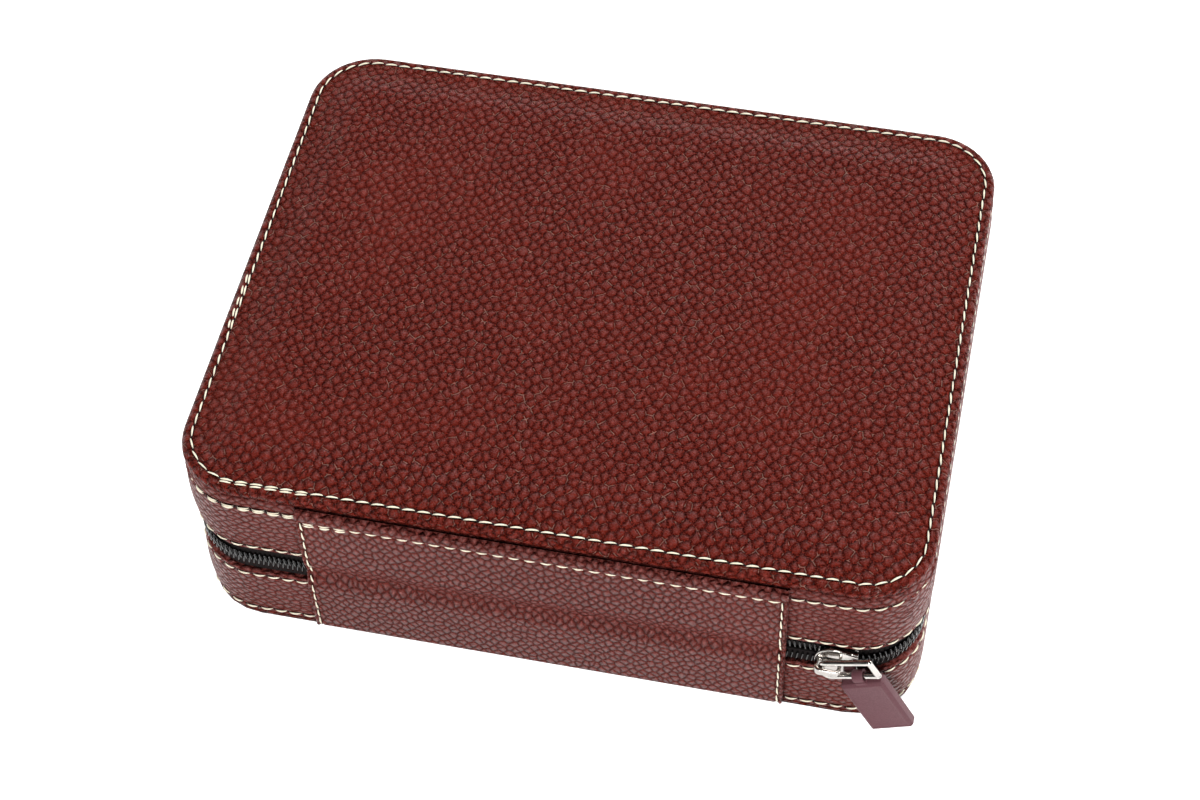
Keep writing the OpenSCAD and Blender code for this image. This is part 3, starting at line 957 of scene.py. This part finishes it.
def roundPlaces(row):
    onTop, doubled = row.get("onTop"), row.get("doubled")
    places = []
    for index in range(roundStitches):
        point, along, out = outlineAt(index + 0.5, row["inset"])
        point.z = row["z"]
        if not onTop and not clearOfCover(point):
            continue
        face, aside = (upward, out) if onTop else (out, -upward)
        places.append((point, along, face))
        if doubled and doubled(point):
            places.append((point + aside * stitch["spread"], along, face))
    return places


for rowName, row in rows.items():
    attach(stitchRow(rowName, roundPlaces(row)), row["body"])


def spineRows():
    p = spine
    front = -(case["halfDepth"] + p["thick"] - 0.25)
    columnX = p["half"] - p["columnIn"]
    along = Vector((1, 0, 0))
    pitch = 2 * columnX / p["rowCount"]
    places = []
    for i in range(p["rowCount"]):
        point = Vector((-columnX + pitch * (i + 0.5), front, p["row"]))
        places.append((point, along, toFront))
        if i < 3:
            places.append((point - upward * 0.95, along, toFront))
    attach(stitchRow("spineTopStitches", places), "lid")
    step = (p["row"] - p["low"] - 0.6) / p["columnCount"]
    places = []
    for side in (-1, 1):
        for i in range(p["columnCount"]):
            z = p["row"] - step * (i + 0.5)
            out = case["halfDepth"] + coverRise(z) - p["channel"] + 0.05
            places.append((Vector((side * columnX, -out, z)), upward, toFront))
    foldWithLid(stitchRow("spineSideStitches", places))


spineRows()
print("stitches made")


# Zip
coil = {
    "wire": 0.27,           # radius of the nylon thread
    "shortHalf": 0.36,      # half the depth of a loop, along the thread's middle
    "stretch": 1.05,        # added to each half of the loop towards the middle and the tape
    "middle": 1.0,          # distance of a loop's middle from the middle of the zip
    "inset": 0.72,
    "perStitch": 3,         # loops in the length of one stitch
    "lean": 9,
    "frontFrom": 59.5,      # the chain starts here, tucked under the spine cover
    "apart": 1.85,          # how far each row has parted in front of the slider
    "apartTo": 73.6,
    "meshFrom": 80,
    "bendFrom": (62, 28.8),     # across and up, where the upper half leaves the base
    "bendTo": (63.424, 32.684),
}


def loopMesh():
    p = coil
    pickNothing()
    bpy.ops.mesh.primitive_torus_add(major_segments=8, minor_segments=5,
                                     major_radius=p["shortHalf"] * mm,
                                     minor_radius=p["wire"] * mm, rotation=(0, math.pi / 2, 0))
    piece = added("coilLoop")
    workOn(piece)
    for sign in (-1, 1):
        pickWhere(piece, lambda q: sign * q.y > 0.05)
        shift(y=sign * p["stretch"])
    stopWork()
    onlyPick(piece)
    bpy.ops.object.shade_smooth()
    piece.data.materials.append(coilNylon)
    return takeMesh(piece)


oneLoop = loopMesh()


# A row of loops on one side of the zip's middle line, joined into one piece
def coilRow(name, side, wanted, node):
    p = coil
    copies = []
    for index in range(roundStitches * p["perStitch"]):
        station = (index + (0.5 if side > 0 else 0)) / p["perStitch"]
        point, along, _ = outlineAt(station, p["inset"])
        if not wanted(point):
            continue
        apart = 0
        if point.y < case["frontTo"] and point.x > 0:
            share = (p["meshFrom"] - point.x) / (p["meshFrom"] - p["apartTo"])
            apart = p["apart"] * min(1, max(0, share))
        point.z = case["zipHeight"] + side * (p["middle"] + apart)
        turn = Matrix((along, upward, along.cross(upward))).transposed().to_4x4()
        lean = Matrix.Rotation(math.radians(side * p["lean"]), 4, "Z")
        copy = addObject(name, oneLoop.copy())
        copy.matrix_world = Matrix.Translation(point * mm) @ turn @ lean
        copies.append(copy)
    piece = joined(name, copies)
    dress(piece, "zip_coil", coilNylon, node)
    return piece


# Makes the place of a piece of the lid's half of the zip, beside the cover, part of its shape; it
# is not attached to the base or the lid
def bendWithHinge(piece):
    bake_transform(piece)


def inFront(point):
    return point.y < case["frontTo"] and abs(point.x) < straightX + 0.1


def lowerMeshed(point):
    return not inFront(point) or point.x < -coil["frontFrom"]


def lowerOpen(point):
    return inFront(point) and point.x > coil["frontFrom"]


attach(coilRow("coilUpperRear", 1, lambda q: q.y > -straightY, "zip_coil_upper"), "lid")
for side, sideName in ((-1, "Left"), (1, "Right")):
    frontRow = coilRow("coilUpperFront" + sideName, 1,
                       lambda q: q.y <= -straightY and side * q.x > coil["frontFrom"],
                       "zip_coil_upper_front")
    bendWithHinge(frontRow)
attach(coilRow("coilLower", -1, lowerMeshed, "zip_coil_lower"), "base")
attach(coilRow("coilLowerOpen", -1, lowerOpen, "zip_coil_lower_front"), "base")

tape = {"outer": 1.6, "inner": 2.1, "low": 28.8, "high": 39.2, "cut": 0.65, "cuts": 15}


# One front end of the upper tape, cut from a band that goes all the way round
def makeTapeEnd(name, side):
    p = tape
    heights = [p["low"] + p["cut"] * i for i in range(p["cuts"] + 1)] + [p["high"]]
    profile = [(p["outer"], z) for z in heights] + [(p["inner"], z) for z in reversed(heights)]
    piece = sweepRound(name, profile, cutsPerStitch=1)
    for point, normal in (((0, -straightY, 0), (0, 1, 0)),
                          ((side * coil["frontFrom"], 0, 0), (-side, 0, 0))):
        bpy.ops.mesh.select_all(action="SELECT")
        bpy.ops.mesh.bisect(plane_co=Vector(point) * mm, plane_no=normal, clear_outer=True,
                            use_fill=True)
    closeMesh()
    stopWork()
    smoothFaces(piece)
    dress(piece, "zip_tape", tapeCloth, "zip_tape_upper_front")
    bendWithHinge(piece)


makeTapeEnd("tapeUpperFrontLeft", -1)
makeTapeEnd("tapeUpperFrontRight", 1)
print("zip made")


# Slider and pull tab
slider = {
    "x": 78.8,
    "long": 11.4,
    "wide": 10.6,
    "tail": 7.6,
    "tailSpread": 1.08,
    "plate": 0.9,
    "outerFace": 80.0,      # how far out the outer plate's face is
    "innerFace": 76.65,
    "innerSet": 0.15,       # how much further in the inner plate lies, and how much smaller it is
    "innerInset": 0.6,
    "round": 0.3,
    "lipFrom": 76.9,
    "lipThick": 0.7,
    "lipDeep": 1.3,
    "lipRound": 0.2,
    "post": (-4.6, -1.8, 0.7),  # from and to along the slider, and half its height
    "bridge": ((73.4, -84.1, -1.2), (80.5, -79.6, 1.2)),
    "bridgeCorner": 1.6,
    "bridgeThick": 0.95,
    "bridgeRound": 0.28,
}


# A plate in the shape of the slider: round at its wide end, narrowing to a straight tail
def sliderPlate(face, inset):
    p = slider
    half = p["wide"] / 2 - inset
    middle = (p["wide"] - p["long"]) / 2
    pickNothing()
    bpy.ops.mesh.primitive_cylinder_add(vertices=40, radius=half * mm, depth=p["plate"] * mm,
                                        location=(middle * mm, 0, 0))
    plate = added("sliderPlate")
    workOn(plate)
    pickWhere(plate, lambda q: q.x > middle + 0.5 * half)
    narrow = (p["tail"] / 2 - inset) / half * p["tailSpread"]
    bpy.ops.transform.resize(value=(0, narrow, 1), center_override=(p["long"] / 2 * mm, 0, 0))
    stopWork()
    roundEdges(plate, p["round"], 3, 50)
    turned(plate, -math.pi / 2, "X")
    plate.location = (p["x"] * mm, -face * mm, case["zipHeight"] * mm)
    return plate


# The strap over the outer plate that the ring hangs on
def sliderBridge():
    p = slider
    low, high = p["bridge"]
    strap = boxBetween("sliderBridge", low, high)
    workOn(strap)
    pickEdges(strap, lambda a, b: max(a.y, b.y) < low[1] + 0.01 and abs(a.x - b.x) < 0.01)
    bpy.ops.mesh.bevel(offset=p["bridgeCorner"] * mm, segments=7, affect="EDGES")
    hollowOut(strap, 2, p["bridgeThick"])
    roundEdges(strap, p["bridgeRound"], 3, 50)
    strap.location.z = case["zipHeight"] * mm
    return strap


# The flange along one side of the outer plate, which follows it in to the tail
def sliderLip(side):
    p = slider
    right = p["x"] + p["long"] / 2
    outer, half = 0.5 - p["outerFace"], p["lipThick"] / 2
    lip = boxBetween("sliderLip", (p["lipFrom"], outer, -half), (right, outer + p["lipDeep"], half))
    roundEdges(lip, p["lipRound"], 2)
    workOn(lip)
    for x, rise in ((p["lipFrom"], p["wide"] / 2 - 0.15), (right, p["tail"] / 2 - 0.05)):
        pickWhere(lip, lambda q: abs(q.x - x) < 1)
        shift(z=side * (rise - half) + case["zipHeight"])
    stopWork()
    return lip


def makeSlider():
    p = slider
    z = case["zipHeight"]
    start, end, half = p["post"]
    post = boxBetween("sliderPost", (p["x"] + start, 0.6 - p["outerFace"], z - half),
                      (p["x"] + end, -p["innerFace"], z + half))
    roundEdges(post, p["round"], 2)
    outerPlate = sliderPlate(p["outerFace"] - p["plate"] / 2, 0)
    innerPlate = sliderPlate(p["innerFace"] + p["plate"] / 2 - p["innerSet"], p["innerInset"])
    parts = [outerPlate, innerPlate, sliderBridge(), sliderLip(-1), sliderLip(1), post]
    piece = joined("zipSlider", parts)
    smoothFaces(piece, 50)
    place(piece, "slider", "slider_metal", nickel, "slider_body")


makeSlider()

tab = {
    "pivot": (85.408, -82.1, 26.095),
    "slope": 26.4,
    "wide": 12.4,
    "long": 23.8,
    "thick": 3.7,
    "gap": 1.95,            # from the pivot down to the tab's body
    "chamfer": 0.75,
    "round": 0.22,
    "frame": 0.55,          # width of the flat frame round the sunk face
    "sunk": 0.12,
    "neckWide": 3.0,
    "neckOuter": 1.8,
    "neckInner": 1.2,
    "neckRound": 0.15,
}


# The tab is modelled hanging down -Y from its pivot, facing +Z, and then put in its place
def makeTab():
    p = tab
    half, across, neck = p["thick"] / 2, p["wide"] / 2, p["neckWide"] / 2
    body = boxBetween("tabBody", (-across, -p["long"], -half), (across, -p["gap"], half))
    roundEdges(body, p["chamfer"], 1)
    workOn(body)
    pickFaces(body, lambda c, n: n.z > 0.95)
    bpy.ops.mesh.inset(thickness=p["frame"] * mm)
    bpy.ops.mesh.inset(thickness=p["sunk"] * mm)
    shift(z=-p["sunk"])
    stopWork()
    roundEdges(body, p["round"])
    pickNothing()
    bpy.ops.mesh.primitive_cylinder_add(vertices=28, radius=p["neckOuter"] * mm,
                                        depth=p["neckWide"] * mm, rotation=(0, math.pi / 2, 0))
    tube = added("tabNeck")
    workOn(tube)
    hollowOut(tube, 0, p["neckOuter"] - p["neckInner"])
    roundEdges(tube, p["neckRound"], 2, 50)
    link = boxBetween("tabLink", (-neck, -p["gap"] - 1, 0.3 - half),
                      (neck, -p["neckInner"] - 0.1, half - 0.3))
    roundEdges(link, p["neckRound"], 2)
    piece = joined("pullTab", [body, tube, link])
    turned(piece, -math.pi / 2, "X")
    turned(piece, math.radians(p["slope"]), "Y")
    piece.location = Vector(p["pivot"]) * mm
    settle()
    smoothFaces(piece, 30)
    place(piece, "tab", "tab_plastic", tabPlastic, "pull_tab")


makeTab()
print("slider and tab made")


# Tray
tray = {
    "outer": 5.7,
    "inner": 8.9,
    "low": 3.8,
    "high": 40.8,
    "round": 1.1,
    "cut": 6,
    "wall": 3.2,
    "dividerHigh": 38.8,
    "longHalf": 91.1,
    "crossHalf": 70.1,
    "slot": 3.4,
    "soft": 0.9,            # roundness of the dividers' edges
}


def makeTrayFrame():
    p = tray
    r = p["round"]
    heights = [p["low"] + p["cut"] * i for i in range(6)]
    profile = [(p["outer"], z) for z in heights]
    profile += arc((p["outer"] + r, p["high"] - r), r, 180, 90, 5)
    profile += arc((p["inner"] - r, p["high"] - r), r, 90, 0, 5)
    profile += [(p["inner"], z) for z in reversed(heights)]
    piece = sweepRound("trayFrame", profile, cutsPerStitch=0.5)
    stopWork()
    smoothFaces(piece, 50)
    place(piece, "base", "lining", velvet, "tray_frame")


# A padded board with a slot where the other one crosses it
def makeDivider(name, node, half, slotUp):
    p = tray
    thick, slot = p["wall"] / 2, p["slot"] / 2
    middle = (p["low"] + p["dividerHigh"]) / 2
    sign = 1 if slotUp else -1
    piece = boxBetween(name, (-half, -thick, p["low"]), (half, thick, p["dividerHigh"]))
    workOn(piece)
    cutAcross(0, [-slot, slot])
    cutAcross(2, [middle])
    pickFaces(piece, lambda c, n: abs(c.x) < slot - 0.1 and sign * (c.z - middle) > 0.1)
    bpy.ops.mesh.delete(type="FACE")
    for x in (-slot, slot):
        pickEdges(piece, lambda a, b: max(abs(a.x - x), abs(b.x - x)) < 0.05
                  and abs(a.y - b.y) < 0.01 and sign * (a.z + b.z - 2 * middle) > 0.1)
        bpy.ops.mesh.bridge_edge_loops()
    pickEdges(piece, lambda a, b: max(abs(a.x), abs(b.x)) < slot + 0.05
              and abs(a.y - b.y) < 0.01 and abs(a.z - middle) + abs(b.z - middle) < 0.01)
    bpy.ops.mesh.bridge_edge_loops()
    closeMesh()
    stopWork()
    roundEdges(piece, p["soft"], 4, 60)
    if not slotUp:
        turned(piece, math.pi / 2, "Z")
    smoothFaces(piece, 50)
    place(piece, "base", "lining", velvet, node)


makeTrayFrame()
makeDivider("trayLongDivider", "tray_long_divider", tray["longHalf"], True)
makeDivider("trayCrossDivider", "tray_cross_divider", tray["crossHalf"], False)
print("tray made")


# Pillows
pillow = {
    "long": 82,
    "deep": 58,
    "high": 37,
    "round": 15,
    "endRound": 3.2,
    "endInset": 4,
    "seamIn": 5.5,
    "seamDeep": 0.7,
    "crown": 1.3,
    "wrinkle": 0.5,
    "wrinkleSize": 18,
    "lift": 22.6,
    "placeX": 46.35,
    "placeY": 35.85,
}


# A stuffed cuff along X, with a sewn seam drawn in near each end
def pillowMesh():
    p = pillow
    corner = Vector((p["long"] / 2, p["deep"] / 2 - p["crown"], p["high"] / 2 - p["crown"]))
    half = p["long"] / 2
    piece = boxBetween("pillow", -corner, corner)
    workOn(piece)
    pickEdges(piece, lambda a, b: abs(a.x - b.x) > 1)
    bpy.ops.mesh.bevel(offset=(p["round"] - p["crown"]) * mm, segments=9, affect="EDGES")
    pickEdges(piece, lambda a, b: abs(a.x - b.x) < 0.01 and abs(abs(a.x) - half) < 0.01)
    bpy.ops.mesh.bevel(offset=p["endRound"] * mm, segments=5, affect="EDGES")
    pickFaces(piece, lambda c, n: abs(c.x) > half - 0.01)
    for _ in range(2):
        bpy.ops.mesh.inset(thickness=p["endInset"] * mm, use_individual=True)
    seam = half - p["seamIn"]
    places = [seam + c for c in (-1.6, -0.9, -0.4, 0, 0.4, 0.9)] + [5.5 * i for i in range(6)]
    cutAcross(0, sorted({s * x for x in places for s in (-1, 1)}))
    cutAcross(1, [-9, -4.5, 0, 4.5, 9])
    cutAcross(2, [0])
    for x in places:
        pickWhere(piece, lambda q: abs(abs(q.x) - x) < 0.05)
        swell(p["crown"] * math.cos(math.pi / 2 * min(1, x / (half + 2))) ** 0.5)
    for aside, deep in ((0, p["seamDeep"]), (0.4, p["seamDeep"] / 2)):
        pickWhere(piece, lambda q: abs(abs(abs(q.x) - seam) - aside) < 0.05)
        swell(-deep)
    closeMesh()
    stopWork()
    ruffle(piece, "pillowWrinkles", p["wrinkleSize"], p["wrinkle"])
    smoothFaces(piece, 60)
    return takeMesh(piece)


onePillow = pillowMesh()
for number, (x, y) in enumerate(((-1, -1), (1, -1), (-1, 1), (1, 1)), 1):
    piece = addObject("pillow%d" % number, onePillow.copy())
    piece.location = Vector((x * pillow["placeX"], y * pillow["placeY"], pillow["lift"])) * mm
    onlyPick(piece)
    settle()
    place(piece, "pillow_%d" % number, "pillow_suede", suede, "watch_pillow_%d" % number)
print("pillows made")


# Lid cushion
lidPad = {"inset": 5.3, "top": 58.0, "topRound": 0.6, "low": 50.6, "round": 3.0, "crown": 1.6,
          "pipe": 12}


def makeLidPad():
    p = lidPad
    r, low, top, soft, pipe = p["round"], p["low"], p["top"], p["topRound"], p["pipe"]
    profile = [(case["inmost"], top), (p["inset"] + soft, top), (p["inset"], top - soft)]
    profile += arc((p["inset"] + r, low + r), r, 180, 270, 7)
    profile += [(pipe - 1.6, low - 0.3), (pipe - 0.7, low - 0.1), (pipe, low + 0.7),
                (pipe + 0.7, low - 0.1), (pipe + 1.8, low - 0.7), (15.6, low - 1.2),
                (case["inmost"], low - p["crown"])]
    piece = sweepRound("lidCushion", profile, closed=False, cutsPerStitch=1)
    capFlat(piece, top)
    capFlat(piece, low - p["crown"])
    closeMesh()
    stopWork()
    smoothFaces(piece, 60)
    place(piece, "lid", "lining", velvet, "lid_cushion")


makeLidPad()
print("lid cushion made")


# CAD pieces that keep their shape
finishes = (
    (foamRubber, ("lid_top_foam",)),
    (cardAndSeamShade, ("lid_top_board", "lid_wall_board", "base_wall_board", "base_bottom_board")),
    (velvet, ("lid_wall_lining", "base_wall_lining", "base_floor_lining")),
    (tapeCloth, ("zip_tape_upper", "zip_tape_lower")),
    (nickel, ("pull_ring",)),
)
for finish, nodeNames in finishes:
    for nodeName in nodeNames:
        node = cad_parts[nodeName]
        node.data.materials.clear()
        node.data.materials.append(finish)
print("frame dressed")


# Studio
studio = {
    "cameraAt": (103.77, -426.88, 604.69),
    "right": (0.97784, 0.20794, -0.02423),
    "down": (0.15246, -0.78663, -0.59830),
    "forward": (-0.14347, 0.58135, -0.80091),
    "lens": 76.45,
    "sensor": 36,
    "floorGlow": 0.62,
}

# In metres and watts: place, height of the point aimed at, size, power
lamps = {
    "leftSoftbox": ((-0.95, 0.45, 0.62), 0.03, (0.4, 0.4), 6.5),
    "rightSoftbox": ((1.15, 1.15, 0.92), 0.03, (0.45, 0.45), 37),
    "frontSoftbox": ((0.30, -1.5, 1.03), 0.03, (0.75, 0.75), 37),
    "backSoftbox": ((0, 1.1, 0.32), 0.05, (1.0, 0.2), 4),
}


def makeCamera():
    data = bpy.data.cameras.new("camera")
    data.lens, data.sensor_width = studio["lens"], studio["sensor"]
    camera = addObject("camera", data)
    right, down, forward = (Vector(studio[key]) for key in ("right", "down", "forward"))
    turn = Matrix((right, -down, -forward)).transposed().to_4x4()
    camera.matrix_world = Matrix.Translation(Vector(studio["cameraAt"]) * mm) @ turn
    bpy.context.scene.camera = camera


def areaLamp(name, at, aimHeight, size, power):
    data = bpy.data.lights.new(name, "AREA")
    data.shape = "RECTANGLE"
    data.size, data.size_y = size
    data.energy = power
    lamp = addObject(name, data)
    lamp.location = at
    way = Vector((0, 0, aimHeight)) - Vector(at)
    lamp.rotation_euler = way.to_track_quat("-Z", "Y").to_euler()


# The floor glows where it is seen, so that it shows as plain white
def makeFloor():
    pickNothing()
    bpy.ops.mesh.primitive_plane_add(size=6, location=(0, 0, 0))
    floor = named(bpy.context.object, "floor")
    made = newRecipe("paleFloor")
    floor.data.materials.append(made.finish(Base_Color=(0.86, 0.86, 0.86), Roughness=0.9,
                                            Specular_IOR_Level=0.1))
    path, light, both = made.add("LightPath"), made.add("Emission"), made.add("AddShader")
    shown = made.calc("MAXIMUM", path.outputs["Is Camera Ray"], path.outputs["Is Glossy Ray"])
    made.feed(light, Strength=made.calc("MULTIPLY", shown, studio["floorGlow"]))
    made.put(both.inputs[0], made.tree.nodes["Principled BSDF"].outputs[0])
    made.put(both.inputs[1], light.outputs[0])
    made.feed(made.tree.nodes["Material Output"], Surface=both.outputs[0])


# White to the camera, and for the light on the case brighter towards the horizon
def makeWorld():
    made = Recipe(bpy.data.worlds.new("studioWorld"))
    bpy.context.scene.world = made.holder
    path, split = made.add("LightPath"), made.add("SeparateXYZ")
    made.feed(split, Vector=made.where("Generated"))
    light = made.remap(made.calc("ABSOLUTE", split.outputs["Z"]), 0.04, 0.42, 0.60, 0.03)
    made.feed(made.tree.nodes["Background"], Color=(1, 1, 1),
              Strength=made.calc("MAXIMUM", light, path.outputs["Is Camera Ray"]))


makeCamera()
makeFloor()
makeWorld()
for lampName, lampSettings in lamps.items():
    areaLamp(lampName, *lampSettings)
bpy.context.scene.view_settings.view_transform = "Standard"

print("studio ready")
